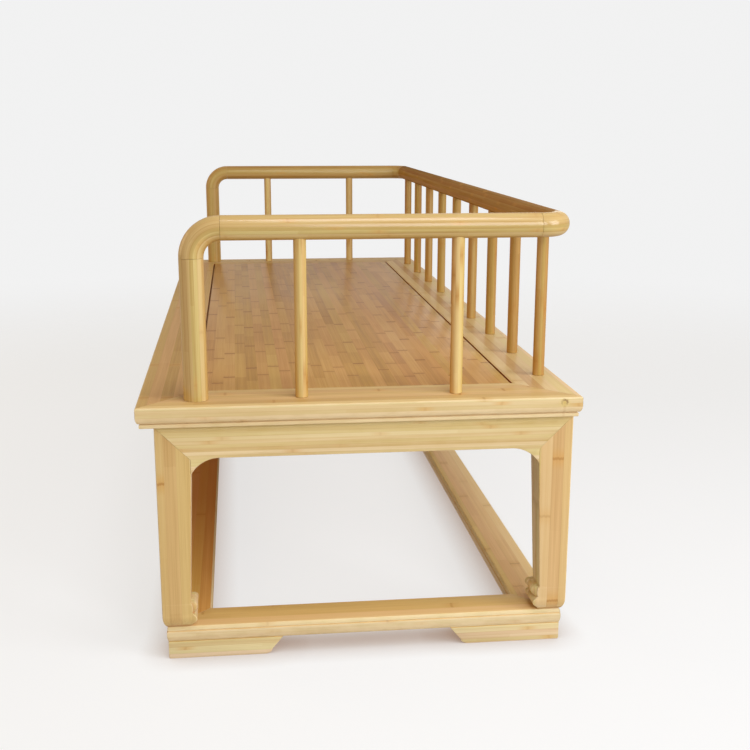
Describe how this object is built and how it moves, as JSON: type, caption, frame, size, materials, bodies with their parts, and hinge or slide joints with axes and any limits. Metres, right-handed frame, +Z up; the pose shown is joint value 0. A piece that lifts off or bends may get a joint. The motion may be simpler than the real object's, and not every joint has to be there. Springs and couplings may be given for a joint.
{
  "type": "bamboo bench",
  "caption": "Long low bench of laminated bamboo: framed seat on hoofed legs and a base frame, with a round rail on spindles along its back and both ends.",
  "frame": {"origin": "on the floor under the middle of the seat", "axes": "+X along the length, -Y the open front, +Y the railed back, +Z up"},
  "size_m": [2, 0.75, 0.7635],
  "materials": {
    "bamboo_seat": "satin",
    "bamboo_frame": "satin",
    "bamboo_rail": "satin",
    "bamboo_peg": "matte"
  },
  "bodies": {
    "root": {"seat_front_rail": "bamboo_frame", "seat_back_rail": "bamboo_frame", "seat_end_rail_left": "bamboo_frame", "seat_end_rail_right": "bamboo_frame", "seat_panel": "bamboo_seat", "seat_batten_1": "bamboo_frame", "seat_batten_2": "bamboo_frame", "seat_batten_3": "bamboo_frame", "apron_front": "bamboo_frame", "apron_back": "bamboo_frame", "apron_left": "bamboo_frame", "apron_right": "bamboo_frame", "leg_left_front": "bamboo_frame", "leg_right_front": "bamboo_frame", "leg_right_back": "bamboo_frame", "leg_left_back": "bamboo_frame", "base_front_rail": "bamboo_frame", "base_back_rail": "bamboo_frame", "base_end_rail_left": "bamboo_frame", "base_end_rail_right": "bamboo_frame", "foot_left_front": "bamboo_frame", "foot_right_front": "bamboo_frame", "foot_right_back": "bamboo_frame", "foot_left_back": "bamboo_frame", "foot_dowel_left_front_1": "bamboo_peg", "foot_dowel_left_front_2": "bamboo_peg", "foot_dowel_right_front_1": "bamboo_peg", "foot_dowel_right_front_2": "bamboo_peg", "foot_dowel_right_back_1": "bamboo_peg", "foot_dowel_right_back_2": "bamboo_peg", "foot_dowel_left_back_1": "bamboo_peg", "foot_dowel_left_back_2": "bamboo_peg", "arm_post_left": "bamboo_rail", "arm_post_right": "bamboo_rail", "arm_elbow_left": "bamboo_rail", "arm_elbow_right": "bamboo_rail", "arm_rail_left": "bamboo_rail", "arm_rail_right": "bamboo_rail", "rail_corner_left": "bamboo_rail", "rail_corner_right": "bamboo_rail", "back_rail": "bamboo_rail", "arm_spindle_left_front": "bamboo_rail", "arm_spindle_left_back": "bamboo_rail", "arm_spindle_right_front": "bamboo_rail", "arm_spindle_right_back": "bamboo_rail", "back_spindle_1": "bamboo_rail", "back_spindle_2": "bamboo_rail", "back_spindle_3": "bamboo_rail", "back_spindle_4": "bamboo_rail", "back_spindle_5": "bamboo_rail", "back_spindle_6": "bamboo_rail", "back_spindle_7": "bamboo_rail", "back_spindle_8": "bamboo_rail", "back_spindle_9": "bamboo_rail"}
  },
  "joints": []
}
